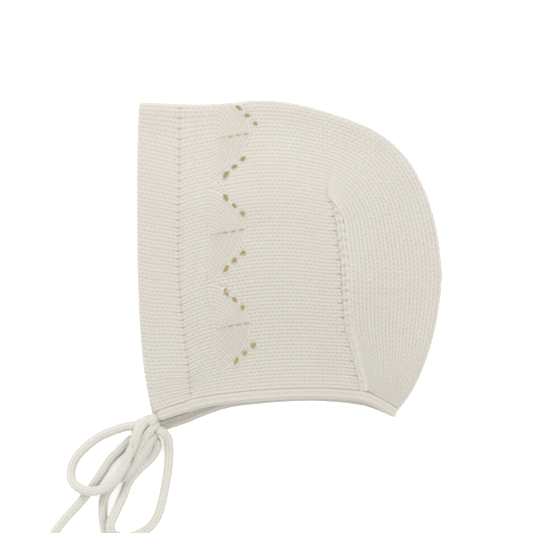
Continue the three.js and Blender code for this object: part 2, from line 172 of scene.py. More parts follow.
# The height that the upper layer has gained over the fold
def rise(x, y):
    dome = puff["height"] * ramp(distanceToFold(x, y) / puff["fromFold"])
    for distance, reach in ((x - toX(0), puff["fromFace"]), (y - neckY(x), puff["fromNeck"])):
        dome = dome * lerp(puff["atEdges"], 1, ramp(distance / reach))
    away = np.hypot(x - toX(cornerPuff["along"]), y - toY(cornerPuff["up"])) / cornerPuff["radius"]
    return dome + cornerPuff["height"] * np.exp(-away * away)


# Surface and outward direction at a share of the way from a station's inner end to the fold's middle
def overFold(inner, outer, share, lower):
    r = bonnet["foldRadius"]
    reach = np.linalg.norm(outer - inner, axis=-1)
    outward = (outer - inner) / reach[..., None]
    quarter = r * math.pi / 2
    travel = (1 - share) * (reach - r + quarter)
    angle = np.clip(travel / r, 0, math.pi / 2)
    away = r * (1 - np.cos(angle)) + np.maximum(travel - quarter, 0)
    plan = outer - outward * away[..., None]
    x, y = plan[..., 0], plan[..., 1]
    side = -1 if lower else 1
    gained = rise(x, y)
    z = r + side * r * np.sin(angle) + gained * (1 + side * np.sin(angle)) / 2
    step = 0.4
    slope = np.stack([rise(x + step, y) - gained, rise(x, y + step) - gained], -1) / step
    slope = slope * ((travel > quarter) & (not lower))[..., None]
    level = outward * np.cos(angle)[..., None] - slope
    normal = np.concatenate([level, side * np.sin(angle)[..., None]], -1)
    normal /= np.linalg.norm(normal, axis=-1)[..., None]
    return np.concatenate([plan, z[..., None]], -1), normal


# How far the wales are drawn down at the groove between hem and body, in millimetres
def drawnDown(x, v):
    x = np.asarray(x, float)
    groove, edge = grooveX(v), edgeX(v)
    hemPart = hem["dip"] * np.clip((x - edge) / (groove - edge), 0, 1) ** 1.3
    bodyPart = hem["dip"] * np.exp(-np.maximum(x - groove, 0) / hem["dipReach"])
    window = ramp((1 - v) / 0.14) * ramp(v / 0.14)
    return np.where(x < groove, hemPart, bodyPart) * window


def panelAt(x, v, lower):
    shape = np.broadcast(x, v).shape
    x, v = np.broadcast_to(x, shape), np.broadcast_to(v, shape)
    neck = neckY(x) - (neckDrop(x) if lower else 0)
    inner, outer = np.stack([x, neck], -1), np.stack([x, foldY(x)], -1)
    drawn = v - drawnDown(x, v) / (foldY(x) - neckY(x))
    return overFold(inner, outer, np.clip(drawn, 0, 1), lower)


def stripAt(station, w, lower):
    shape = np.broadcast(station, w).shape
    station, w = np.broadcast_to(station, shape), np.broadcast_to(w, shape)
    x, y, half = seamAt(follow(backStrip, "station", "down", station))
    lowered = neckDrop(x + half) * (station / lastStation) ** 3 if lower else 0
    inner = np.stack([x + half, y - lowered], -1)
    outerX = toX(follow(backStrip, "station", "along", station))
    outerY = toY(follow(backStrip, "station", "up", station))
    return overFold(inner, np.stack([outerX, outerY], -1), w, lower)


# Where the side panel ends: at the seam below the corner, straight above it
def panelEndX(v):
    x, _, half = seamAt(np.clip(1 - v / seam["cornerShare"], 0, 1))
    return np.where(v >= seam["cornerShare"], toX(seam["cornerAlong"]), x - half)


# Grids of points of one piece, gathered as arrays and joined into one mesh
class Weave:
    def __init__(self, name):
        self.name, self.points, self.faces, self.uvs, self.depths, self.count = name, [], [], [], [], 0

    # points is rows by columns by 3; depth is the painted shade at each point; keep is the cells that
    # are there; tile is the UV square
    def add(self, points, depth, tile, flip=False, keep=None, closed=False, turn=False):
        rows, columns = points.shape[:2]
        index = np.arange(rows * columns).reshape(rows, columns) + self.count
        if closed:
            index = np.concatenate([index, index[:, :1]], 1)
        a, b, c, d = index[:-1, :-1], index[1:, :-1], index[1:, 1:], index[:-1, 1:]
        quads = np.stack([a, b, c, d], -1)
        i, j = np.meshgrid(np.arange(quads.shape[0]), np.arange(quads.shape[1]), indexing="ij")
        steps = ((0, 0), (1, 0), (1, 1), (0, 1))
        corners = np.stack([np.stack([i + di, j + dj], -1) for di, dj in steps], 2)
        uv = corners / np.array(quads.shape[:2])
        uv = uv[..., ::-1] if turn else uv
        uv = np.array(tile[:2]) + uv * (np.array(tile[2:]) - np.array(tile[:2]))
        flat = np.concatenate([points, points[:, :1]], 1) if closed else points
        one, two = flat[1:, 1:] - flat[:-1, :-1], flat[:-1, 1:] - flat[1:, :-1]
        there = np.linalg.norm(np.cross(one, two), axis=-1) > 1e-4
        if keep is not None:
            there &= keep
        if flip:
            quads, uv = quads[..., ::-1], uv[..., ::-1, :]
        self.points.append(points.reshape(-1, 3))
        self.depths.append(np.broadcast_to(depth, points.shape[:2]).reshape(-1))
        self.faces.append(quads[there])
        self.uvs.append(uv[there].reshape(-1, 2))
        self.count += rows * columns

    def build(self, material, slot, *nodes):
        points, faces = np.concatenate(self.points) / 1000, np.concatenate(self.faces)
        places = np.round(points * 1e5)
        same, welded = np.unique(places, axis=0, return_index=True, return_inverse=True)[1:]
        faces = same[welded.reshape(-1)[faces]]
        used, inverse = np.unique(faces, return_inverse=True)
        faces = inverse.reshape(faces.shape)
        mesh = bpy.data.meshes.new(self.name)
        mesh.vertices.add(len(used))
        mesh.vertices.foreach_set("co", points[used].astype(np.float32).ravel())
        mesh.loops.add(faces.size)
        mesh.loops.foreach_set("vertex_index", faces.astype(np.int32).ravel())
        mesh.polygons.add(len(faces))
        mesh.polygons.foreach_set("loop_start", np.arange(0, faces.size, 4, dtype=np.int32))
        layer = mesh.uv_layers.new(name="OFBake")
        layer.data.foreach_set("uv", np.concatenate(self.uvs).astype(np.float32).ravel())
        # The depth attribute carries the painted shade, and the painted glow, to the yarn materials
        depth = mesh.attributes.new("depth", "FLOAT", "POINT")
        depth.data.foreach_set("value", np.concatenate(self.depths)[used].astype(np.float32))
        mesh.update(calc_edges=True)
        mesh.validate()
        mesh.shade_smooth()
        piece = bpy.data.objects.new(self.name, mesh)
        bpy.context.scene.collection.objects.link(piece)
        mesh.materials.append(material)
        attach(piece, "root")
        if nodes:
            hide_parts(*nodes)
        print(self.name, len(faces) * 2, "triangles")
        return piece


seeds = {"cords": 0, "hem": 3, "neckBand": 5, "side": 7, "seam": 9, "stretches": 20, "knot": 30}


# Each stitch leg's own stoutness, by course and leg
def stitchSizes(seed):
    return np.random.default_rng(seed).random(gauge["sizes"])


# How far a stitch stands out, from 0 in the gaps between its legs and its neighbours to 1 on a leg
def stitchRelief(course, wale, sizes, purl=False):
    across = np.abs(2 * (wale % 1) - 1)
    along = np.interp(course % 1, [0, 0.3, 0.7, 1], [0, 1, 0.85, 0])
    if purl:
        return lerp(0.3, 1, along) * lerp(0.7, 1, np.abs(np.sin(2 * math.pi * wale)))
    gap = lerp(0.0, np.interp(across, [0, 1], [0.5, 0.4]), along)
    round_ = np.sqrt(np.clip(1 - (2 * across - 1) ** 2, 0, 1))
    rows = np.floor(course).astype(int) % gauge["sizes"][0]
    legs = np.floor(2 * wale).astype(int) % gauge["sizes"][1]
    stout = 1 + gauge["uneven"] * (sizes[rows, legs] - 0.6)
    return np.clip(lerp(gap, lerp(0.6, 1, along), round_) * stout, 0, 1.05)


def legLean(wale):
    return gauge["slant"] * np.abs(2 * (wale % 1) - 1)


# Shader maths on a socket, written as Python expressions
class Wire:
    def __init__(self, tree, socket=None):
        self.tree, self.socket = tree, socket

    def node(self, kind, settings=None, inputs=None, output=0):
        made = self.tree.nodes.new("ShaderNode" + kind)
        for name, value in (settings or {}).items():
            if name == "stops":
                ends = made.color_ramp.elements
                for k, (place, colour) in enumerate(value):
                    stop = ends[k] if k < 2 else ends.new(place)
                    stop.position, stop.color = place, (*colour, 1)
            else:
                setattr(made, name, value)
        for name, value in (inputs or {}).items():
            if isinstance(value, Wire):
                self.tree.links.new(value.socket, made.inputs[name])
            else:
                made.inputs[name].default_value = value
        return Wire(self.tree, made.outputs[output] if len(made.outputs) else None)

    def maths(self, operation, first, second):
        return self.node("Math", {"operation": operation}, {0: first, 1: second})

    def __add__(self, other):
        return self.maths("ADD", self, other)

    def __sub__(self, other):
        return self.maths("SUBTRACT", self, other)

    def __rsub__(self, other):
        return self.maths("SUBTRACT", other, self)

    def __mul__(self, other):
        return self.maths("MULTIPLY", self, other)

    __radd__, __rmul__ = __add__, __mul__


# Yarn looks: real off-white tones in random patches, the colour and strengths of painted shade in the
# gaps, and a painted glow that is off unless a look turns it up
yarnLook = {
    "pale": (0.595, 0.577, 0.527), "warm": (0.577, 0.543, 0.478), "shadeColour": (0.34, 0.27, 0.16),
    "fibres": 2600, "patches": 45, "roughness": 0.92, "sheen": 0.6, "gaps": 0.3, "dashes": 0.95,
    "paintedGlow": (0.24, 0.19, 0.088), "paintedGlowStrength": 0.0, "paintedGlowFrom": 1.0,
}
cordLook = {**yarnLook, "pale": (0.65, 0.635, 0.59), "warm": (0.62, 0.6, 0.542)}
# The far layer's inner side: painted light, a glow behind the eyelets in place of light coming through
# the wool
insideLook = {**yarnLook, "paintedGlowStrength": 1.75}
# Eyelet rims: painted shade, a darker khaki in place of the off-white yarn, with a painted glow all over
rimLook = {
    **yarnLook, "pale": (0.42, 0.39, 0.31), "warm": (0.39, 0.35, 0.26), "paintedGlowStrength": 0.75,
    "paintedGlowFrom": -1.0,
}


def blend(wire, share, first, second):
    return wire.node("Mix", {"data_type": "RGBA"}, {0: share, 6: first, 7: second}, output=2)


# Painted shade: darker in the gaps between the stitches as the depth attribute grows, with fine fibres;
# painted light: it glows where depth is past the look's threshold
def yarnMaterial(name, look):
    material = bpy.data.materials.new(name)
    material.use_nodes = True
    tree = material.node_tree
    tree.nodes.clear()
    wire = Wire(tree)
    place = wire.node("TexCoord", output=3)
    patches = wire.node("TexNoise", {}, {"Vector": place, "Scale": look["patches"], "Detail": 3.0})
    fibres = wire.node("TexNoise", {}, {
        "Vector": place, "Scale": look["fibres"], "Detail": 4.0, "Roughness": 0.7,
    })
    depth = wire.node("Attribute", {"attribute_name": "depth"}, output=2)
    body = blend(wire, patches * 0.8 + fibres * 0.4 - 0.1, (*look["pale"], 1), (*look["warm"], 1))
    # How strongly painted shade covers the yarn as depth grows
    stops = [(0.08, (0, 0, 0)), (0.47, [look["gaps"]] * 3), (0.9, [look["dashes"]] * 3)]
    paintedShade = wire.node("ValToRGB", {"stops": stops}, {0: depth * 0.5})
    colour = blend(wire, paintedShade, body, (*look["shadeColour"], 1))
    # Painted light: an emission where depth passes the threshold
    paintedGlow = blend(wire, depth - look["paintedGlowFrom"], (0, 0, 0, 1), (*look["paintedGlow"], 1))
    bump = wire.node("Bump", {}, {"Height": fibres, "Strength": 0.35, "Distance": 0.0003})
    shader = wire.node("BsdfPrincipled", {}, {
        "Base Color": colour, "Roughness": look["roughness"], "Normal": bump,
        "Sheen Weight": look["sheen"], "Sheen Roughness": 0.6, "Specular IOR Level": 0.2,
        "Emission Color": paintedGlow, "Emission Strength": look["paintedGlowStrength"],
    })
    wire.node("OutputMaterial", {}, {"Surface": shader})
    return material


yarn = yarnMaterial("offWhiteYarn", yarnLook)
cordYarn = yarnMaterial("offWhiteCord", cordLook)
insideYarn = yarnMaterial("offWhiteYarnInsidePaintedGlow", insideLook)
rimYarn = yarnMaterial("yarnRimPaintedShadeAndGlow", rimLook)

# The photograph's frame: 533 px wide, 0.47 mm each, straight from above
shot = {"pixels": 533, "scale": 0.47, "middle": (-10.9, -0.1), "lens": 200, "sensor": 36, "level": 10}


def makeCamera():
    data = bpy.data.cameras.new("camera")
    data.lens, data.sensor_width = shot["lens"], shot["sensor"]
    distance = shot["pixels"] * shot["scale"] * shot["lens"] / shot["sensor"]
    camera = bpy.data.objects.new("camera", data)
    camera.location = [value / 1000 for value in (*shot["middle"], shot["level"] + distance)]
    data.clip_end = 10
    bpy.context.scene.collection.objects.link(camera)
    bpy.context.scene.camera = camera


studio = {
    "sky": 0.86, "floorSize": 6, "floorLevel": -0.0006,
    "lamps": [
        {"at": (-0.9, 1.2, 1.1), "size": 0.8, "power": 13},
        {"at": (0.9, -0.3, 1.3), "size": 1.2, "power": 8},
    ],
    "floor": (0.95, 0.95, 0.95), "floorGlow": 0.35,
}


def makeStudio():
    world = bpy.data.worlds.new("studio")
    world.use_nodes = True
    world.node_tree.nodes["Background"].inputs[0].default_value = (1, 1, 1, 1)
    world.node_tree.nodes["Background"].inputs[1].default_value = studio["sky"]
    bpy.context.scene.world = world
    bpy.context.scene.view_settings.view_transform = "Standard"
    for k, lamp in enumerate(studio["lamps"]):
        data = bpy.data.lights.new(f"lamp{k}", "AREA")
        data.size, data.energy = lamp["size"], lamp["power"]
        made = bpy.data.objects.new(f"lamp{k}", data)
        made.location = lamp["at"]
        made.rotation_euler = aim(lamp["at"])
        bpy.context.scene.collection.objects.link(made)
    bpy.ops.mesh.primitive_plane_add(size=studio["floorSize"], location=(0, 0, studio["floorLevel"]))
    floor = bpy.context.object
    floor.name = "floor"
    material = bpy.data.materials.new("paleFloor")
    material.use_nodes = True
    shader = material.node_tree.nodes["Principled BSDF"]
    shader.inputs["Base Color"].default_value = (*studio["floor"], 1)
    shader.inputs["Roughness"].default_value = 0.9
    shader.inputs["Emission Color"].default_value = (1, 1, 1, 1)
    shader.inputs["Emission Strength"].default_value = studio["floorGlow"]
    floor.data.materials.append(material)


def aim(place):
    x, y, z = place
    return (math.atan2(math.hypot(x, y), z), 0, math.atan2(y, x) + math.pi / 2)


makeCamera()
makeStudio()
print("camera and studio made")

# Cords: the same points as the solids', in millimetres
routes = {
    "bow_loop_front": [
        (-72.8, -75.2, 7.4), (-77.6, -75.6, 6.4), (-85.4, -78.4, 4), (-91.2, -81.4, 2.6),
        (-97.2, -86.2, 2.4), (-101.2, -91, 2.4), (-103.2, -96.4, 2.6), (-102.6, -101.2, 4.4),
        (-99, -104.6, 6.8), (-93, -105.9, 7.8), (-87.2, -104.4, 7.8), (-82.4, -100.8, 7.8),
        (-78.8, -95.6, 7.8), (-76, -89.4, 8), (-73.6, -84, 8.2),
    ],
    "bow_loop_back": [
        (-63, -76.8, 8.2), (-59.8, -78, 8), (-57.4, -81.4, 5.6), (-56.9, -86, 3.2), (-57, -92, 2.4),
        (-58, -100, 2.4), (-60.4, -112, 2.4), (-63.2, -119.6, 2.4), (-68.4, -125, 2.4),
        (-77, -128.3, 2.7), (-83.2, -126.2, 5.2), (-84.4, -121.8, 7), (-82.6, -117.2, 6.2),
        (-78.9, -109.2, 3.6), (-76, -102, 2.4), (-71.4, -96.2, 2.4), (-65.4, -90.4, 2.4),
        (-62.6, -84.8, 3.4), (-64, -80.6, 4.6),
    ],
    "tie_end_front": [
        (-73.4, -80.4, 4.4), (-78.8, -85.8, 2.6), (-84.4, -91.2, 2.4), (-88.6, -97.4, 2.4),
        (-92.4, -103, 2.4), (-96, -108, 2.4), (-100.4, -113.2, 2.4), (-105.4, -118.6, 2.4),
        (-110, -124.4, 2.4), (-113.6, -130.4, 2.4),
    ],
    "tie_end_back": [
        (-70.6, -84.2, 3.2), (-73.4, -89.8, 2.4), (-77.6, -96, 2.4), (-83.2, -102.4, 2.4),
        (-87, -108.2, 2.4), (-88.2, -114.2, 2.4), (-87.8, -121.4, 2.4), (-86.6, -128.2, 2.4),
        (-86, -135, 2.4),
    ],
    "tie_left": [
        (-62.2, -70.2, 9.8), (-63.4, -70.9, 9.9), (-64.8, -72.4, 9.7), (-66.4, -74.6, 9),
    ],
    "tie_right": [
        (-62.2, -75, 2.4), (-63.4, -75.6, 2.4), (-64.8, -76.4, 2.5), (-66.4, -77.2, 2.7),
    ],
}
cord = {
    "diameter": 4.7, "wales": 4, "course": 2.1, "relief": 0.45, "samples": 4, "around": 8, "tip": 0.05,
}


# Evenly spaced points on a smooth curve through a route
def smoothLine(points, spacing):
    points = np.array(points, float)
    padded = np.concatenate([[2 * points[0] - points[1]], points, [2 * points[-1] - points[-2]]])
    t = np.linspace(0, 1, 24, endpoint=False)[:, None]
    stretches = []
    for a, b, c, d in zip(padded[:-3], padded[1:-2], padded[2:-1], padded[3:]):
        square, cube = 2 * a - 5 * b + 4 * c - d, 3 * b - a - 3 * c + d
        stretches.append(0.5 * (2 * b + (c - a) * t + square * t**2 + cube * t**3))
    line = np.concatenate([*stretches, points[-1:]])
    travelled = np.concatenate([[0], np.cumsum(np.linalg.norm(np.diff(line, axis=0), axis=1))])
    even = np.linspace(0, travelled[-1], max(8, round(travelled[-1] / spacing)) + 1)
    return resampled(even, travelled, line), travelled[-1]


# How far a tube has closed in towards its end
def roundedEnd(toEnd, radius):
    away = 1 - np.clip(toEnd / radius, 0, 1)
    return np.sqrt(np.clip(1 - away**2, cord["tip"] ** 2, 1))


# A knitted tube along a line: its stitches run along it, and its ends are closed and round
def knittedTube(weave, points, tile, sizes, diameter=cord["diameter"]):
    line, length = smoothLine(points, cord["course"] / cord["samples"])
    along = np.gradient(line, axis=0)
    along /= np.linalg.norm(along, axis=1)[:, None]
    side = np.cross(along, (0, 0, 1))
    side /= np.linalg.norm(side, axis=1)[:, None]
    above = np.cross(side, along)
    travel = np.linspace(0, length, len(line))[:, None]
    turn = (np.arange(cord["wales"] * cord["around"]) / cord["around"])[None, :]
    out = stitchRelief(travel / cord["course"] - legLean(turn), turn + 0 * travel, sizes)
    radius = diameter / 2
    toEnd = np.minimum(travel, length - travel)
    closing = roundedEnd(toEnd, radius)
    reach = (radius - cord["relief"] * (1 - out)) * closing
    angle = turn / cord["wales"] * 2 * math.pi
    ring = side[:, None] * np.cos(angle)[..., None] + above[:, None] * np.sin(angle)[..., None]
    # Painted shade in the gaps between the stitches
    weave.add(line[:, None] + ring * reach[..., None], 1 - out, tile, closed=True)
    return line, length


farEnds = {
    "bow_loop_front": "object", "bow_loop_back": "object",
    "tie_end_front": "bare", "tie_end_back": "bare",
}
for number, (name, farEnd) in enumerate(farEnds.items()):
    weave = Weave(name + "_cord")
    line, length = knittedTube(weave, routes[name], (0, 0, 1, 1), stitchSizes(seeds["cords"] + number))
    weave.build(cordYarn, "cord", name)

# The short stretches from the neck band to the knot, and the knot with its turn
stretches = Weave("tie_stretches")
knittedTube(stretches, routes["tie_left"], (0, 0, 0.5, 1), stitchSizes(seeds["stretches"]))
knittedTube(stretches, routes["tie_right"], (0.5, 0, 1, 1), stitchSizes(seeds["stretches"] + 1))
stretchPiece = stretches.build(cordYarn, "cord", "tie_left", "tie_right")
knot = {
    "diameter": 4.9,
    "strands": [
        [
            (-73.9, -85.6, 8), (-72.8, -81.6, 9.4), (-71.4, -77.6, 10), (-69, -73.8, 9.6),
            (-65.8, -72, 8.2), (-63, -73.4, 6.8),
        ],
        [(-75.8, -75.2, 6.8), (-72.6, -75, 7.8), (-69.6, -73.6, 8.2), (-66.8, -72.6, 7.4)],
        [
            (-61.4, -73, 8.6), (-64.4, -75.6, 8.4), (-67.8, -79, 7.8), (-70, -83, 6.8),
            (-72.4, -87.6, 5.4), (-74.4, -91, 4.6),
        ],
        [
            (-61.8, -75.6, 4.8), (-64.8, -80.4, 6), (-68, -85.4, 5.8), (-71.8, -90.4, 5.2),
            (-75.4, -95.4, 4.8), (-78, -98.6, 4.4),
        ],
        [
            (-64.6, -82.6, 3.4), (-67.8, -87.6, 3.4), (-72.2, -93, 3.4), (-76.4, -98, 3.2),
            (-80, -101.4, 3),
        ],
        [(-73.6, -76.8, 6), (-71.6, -80.4, 5.8), (-70.8, -84.6, 4.8), (-72, -88.8, 4)],
    ],
}
windings, count = Weave("bow_knot_cord"), len(knot["strands"])
for k, strand in enumerate(knot["strands"]):
    tile = (k / count, 0, (k + 1) / count, 1)
    knittedTube(windings, strand, tile, stitchSizes(seeds["knot"] + k), diameter=knot["diameter"])
knotPiece = windings.build(cordYarn, "cord", "bow_knot")
print("cords made")

# Wales are counted from the neck edge to the fold, and those over the corner run on into the back strip
wales = {
    "side": 39, "corner": 27, "strip": 12, "stripCourses": 62, "toCorner": 27, "toSeam": 9,
    "stripMiddle": 0.62, "legUntil": 42, "legFades": 12,
}
layer = {
    "proud": 0.5, "proudBelow": 0.3, "in": 1.45, "purl": 0.35, "alongSamples": 4, "acrossSamples": 8,
}


# A wale's share of the way from the neck edge to the fold
def upOf(wale):
    corner, share = wales["corner"], seam["cornerShare"]
    above = share + (1 - share) * (wale - corner) / wales["strip"]
    return np.where(wale < corner, share * wale / corner, above)


# The seam's ridge; dash, dashDark and everyOther set the painted shade where the side's wales meet it
ridge = {
    "start": 0.015, "courses": 38, "lump": 3.5, "height": 1.0, "rough": 0.4, "strand": 2.6, "tuck": 0.3,
    "sink": 0.35, "knit": 0.75, "fades": 0.55, "faded": 0.3, "dash": 2.0, "dashDark": 0.8,
    "everyOther": 0.35,
}

# Lace: the wales of each fan run together on its middle line, and open again from the eyelets
# endReach, endDark and dashFrom set the painted shade where the fans' wales end; behind sets the reach
# of the painted shade and glow behind the eyelets
lace = {
    "along": [0.3250, 0.2925, 0.2910, 0.3235], "up": [0.1813, 0.4584, 0.7386, 1.0200],
    "arms": [[1], [-1, 1], [-1, 1], [-1]], "leans": [1, 1, 1, 0.3],
    "moved": [(0, 0), (0, 0), (0, 0), (1.3, -1.3)],
    "tipBefore": 8.6, "scallop": 17.9, "shortest": 2.4, "roundness": 1.5, "tuck": 0.6, "dash": 3.7,
    "firstRise": 5.4, "riseStep": 3.7, "runStep": 3.95,
    "tilts": [66, 42, 46], "lengths": [4.2, 2.9, 2.8], "widths": [2.1, 2.1, 2.2],
    "rimWidth": 0.416, "rimOut": 0.1, "rimSink": 0.8, "rimDepth": 0.85, "rimDepthBelow": 0.51,
    "opened": 2.0, "sizes": [1, 1.15, 0.05], "edge": 0.86, "behind": 2.5, "behindShadeAndGlow": 2.2,
    "sunk": 0.45, "endReach": 0.7, "endDark": 0.95, "dashFrom": 4,
}
arrowX = toX(np.array(lace["along"])) - lace["tipBefore"]
arrowY = toY(np.array(lace["up"]))
arrowWale = np.round(2 * (arrowY - neckY(arrowX)) / (foldY(arrowX) - neckY(arrowX)) * wales["side"]) / 2


def eyelets():
    places, holes = [], list(zip(lace["tilts"], lace["lengths"], lace["widths"]))
    columns = ("along", "up", "arms", "leans", "moved")
    for along, up, arms, lean, moved in zip(*(lace[column] for column in columns)):
        for arm in arms:
            for k, (tilt, length, width) in enumerate(holes):
                y = toY(up) + arm * (lace["firstRise"] + k * lace["riseStep"]) + moved[1]
                x = toX(along) + k * lace["runStep"] + moved[0]
                places.append((x, y, math.radians(arm * tilt * lean), length / 2, width / 2))
    return places


# How far each point is from an eyelet's middle, as a share of its half length and half width
def fromEyelet(points, x, y, tilt, halfLength, halfWidth, size):
    dx, dy = points[..., 0] - x, points[..., 1] - y
    long = (dx * math.cos(tilt) + dy * math.sin(tilt)) / (halfLength * size)
    wide = (dy * math.cos(tilt) - dx * math.sin(tilt)) / (halfWidth * size)
    return dx, dy, np.maximum(np.hypot(long, wide), 1e-3)


# The stitches drawn aside round each eyelet, and the cells that are left after that
def openEyelets(points, size):
    points = points.copy()
    for place in eyelets():
        dx, dy, away = fromEyelet(points, *place, size)
        grown = np.maximum(away, 1 + away * (lace["opened"] - 1) / lace["opened"]) / away - 1
        points[..., 0] += dx * grown
        points[..., 1] += dy * grown
    middle = (points[1:, 1:] + points[:-1, :-1] + points[1:, :-1] + points[:-1, 1:]) / 4
    keep = np.ones(middle.shape[:2], bool)
    for place in eyelets():
        keep &= fromEyelet(middle, *place, size)[2] > lace["edge"]
    return points, keep


# For each wale: its fan's middle, how far up the half fan it is, and where the lace starts
def fanOf(wale):
    k = np.clip(np.searchsorted(arrowWale, wale, side="right") - 1, 0, 2)
    middle, half = (arrowWale[k] + arrowWale[k + 1]) / 2, (arrowWale[k + 1] - arrowWale[k]) / 2
    share = np.clip(np.abs(wale - middle) / half, 0, 1)
    return middle, share, np.interp(wale, arrowWale, arrowX)


def scallopX(wale):
    _, share, start = fanOf(wale)
    power = lace["roundness"]
    return start + lace["scallop"] * (1 - share**power) ** (1 / power)


def lattice(rows, columns, along, across):
    i, j = np.arange(rows * along + 1) / along, np.arange(columns * across + 1) / across
    return np.meshgrid(i, j, indexing="ij")


# Painted shade and painted light on the wool of the far layer that is seen through the near eyelets: a
# khaki shade and a glow in place of the light that comes through it
def behindEyelets(points):
    near = [np.hypot(points[..., 0] - place[0], points[..., 1] - place[1]) for place in eyelets()]
    return lace["behindShadeAndGlow"] * ramp(2.2 - np.min(near, axis=0) / lace["behind"])


# A lattice laid off its surface: the outer knit side, or the inner purl side, with painted shade in the
# gaps between the stitches and dark as more painted shade
def offSurface(weave, place, relief, inner, lower, tile, turn=False, dark=0):
    points, normal = place
    proud = layer["proudBelow"] if lower else layer["proud"]
    lift = layer["purl"] * relief - layer["in"] if inner else (relief - 1) * gauge["relief"] + proud
    size = lace["sizes"][inner + inner * lower]
    surface, keepOpen = openEyelets(points + normal * lift[..., None], size)
    one, two = points[1:, 1:] - points[:-1, :-1], points[:-1, 1:] - points[1:, :-1]
    keep = keepOpen & (np.linalg.norm(np.cross(one, two), axis=-1) > 0.01)
    # On the far inner side, painted shade and painted glow behind the eyelets
    dark = behindEyelets(points) if inner and lower else dark
    weave.add(surface, 1 - relief + dark, tile, flip=lower != inner, keep=keep, turn=turn)


def samples(inner):
    return (2, 4) if inner else (layer["alongSamples"], layer["acrossSamples"])


# From the groove to where the wales start to bend
def frontOfLace(weave, lower, inner, sizes, courses=7):
    course, wale = lattice(courses, wales["side"], *samples(inner))
    v = upOf(wale)
    first, last = grooveX(v) - hem["overlap"], np.interp(wale, arrowWale, arrowX)
    inside = np.clip(course, 0, 1) * np.clip(courses - course, 0, 1)
    x = first + (last - first) * (course + (0 if inner else legLean(wale) * inside)) / courses
    dash = grooveDash(x - first, wale)
    relief = stitchRelief(course * (courses - 0.5) / courses, wale, sizes, inner) * (1 - dash)
    points, normal = panelAt(x, v, lower)
    sunk = grooveDepth(x - first, v)
    place = (points - normal * sunk[..., None], normal)
    # dark is the painted shade at the groove
    offSurface(weave, place, relief, inner, lower, (0.5, 0, 0.6, 1), dark=dash)


# The short dark dash at the groove between one wale and the next: the stitches sink there, and it is
# painted shade in the gap
def grooveDash(away, wale):
    between = ramp(np.abs(2 * (wale % 1) - 1) * 3 - 2)
    return hem["dashDark"] * np.exp(-((away / hem["dash"]) ** 2)) * between


def grooveDepth(away, v):
    shallower = lerp(0.2, 1, ramp((1 - v) / 0.1))
    return hem["groove"] * np.exp(-np.maximum(away, 0) / hem["grooveReach"]) * shallower


# One fan, whose wales bend towards its middle line and end on it, with dashes of painted shade where
# they end
def fan(weave, lower, inner, sizes, k, courses=14):
    first, last = arrowWale[k], arrowWale[k + 1]
    course, wale = lattice(courses, last - first, *samples(inner))
    wale = wale + first
    middle, half = (first + last) / 2, (last - first) / 2
    turned = course / courses * math.pi / 2
    power = 2 / lace["roundness"]
    bent = middle + (wale - middle) * np.cos(turned) ** power
    reach = lerp(lace["shortest"], lace["scallop"], np.abs(wale - middle) / half)
    x = np.interp(bent, arrowWale, arrowX) + reach * np.sin(turned) ** power
    place = panelAt(x, upOf(bent), lower)
    steps = np.linalg.norm(np.diff(place[0], axis=0), axis=-1)
    travel = np.concatenate([np.zeros((1, x.shape[1])), steps.cumsum(0)])
    lean = 0 if inner else legLean(wale) * np.clip(travel / gauge["course"], 0, 1)
    relief = stitchRelief(travel / gauge["course"] - lean + 0.5, wale, sizes, inner)
    toEnd, along = travel[-1:] - travel, x[-1:] - np.interp(middle, arrowWale, arrowX)
    relief = relief * lerp(lace["sunk"], 1, ramp(toEnd / lace["endReach"]))
    wave = np.sin(2 * math.pi * along / lace["dash"])
    dashes = ramp(0.9 + 1.5 * wave) * ramp((along - lace["dashFrom"]) / 2)
    if not inner:
        atEdge = np.minimum(wale - first, last - wale)
        leg = np.interp(atEdge, [0, 0.12, 0.24, 0.36, 0.5], [0.5, 0.85, 0.95, 0.85, 0])
        relief = np.maximum(relief, leg * ramp(travel / 2) * ramp(toEnd))
    # Painted shade where the wales end on the middle line
    dark = lace["endDark"] * np.exp(-((toEnd / lace["endReach"]) ** 2)) * dashes
    offSurface(weave, place, relief, inner, lower, (0.6, k / 3, 0.78, (k + 1) / 3), dark=dark)


# Beside the corner, where the courses of the side run on into those of the strip
def besideCorner(course, wale, lower, tuck):
    v = upOf(wale)
    begin = np.where(wale < arrowWale[0], np.interp(wale, arrowWale, arrowX), scallopX(wale) - tuck)
    x = np.maximum(toX(seam["cornerAlong"]) + course * gauge["course"], begin)
    points, normal = panelAt(np.minimum(x, panelEndX(v)), v, lower)
    beyond = (course > 0) & (wale >= wales["corner"])
    w = np.clip((wale - wales["corner"]) / wales["strip"], 0, 1)
    turned = stripAt(stationsAt(np.maximum(course, 0)), w, lower)
    return [np.where(beyond[..., None], *pair) for pair in zip(turned, (points, normal))]


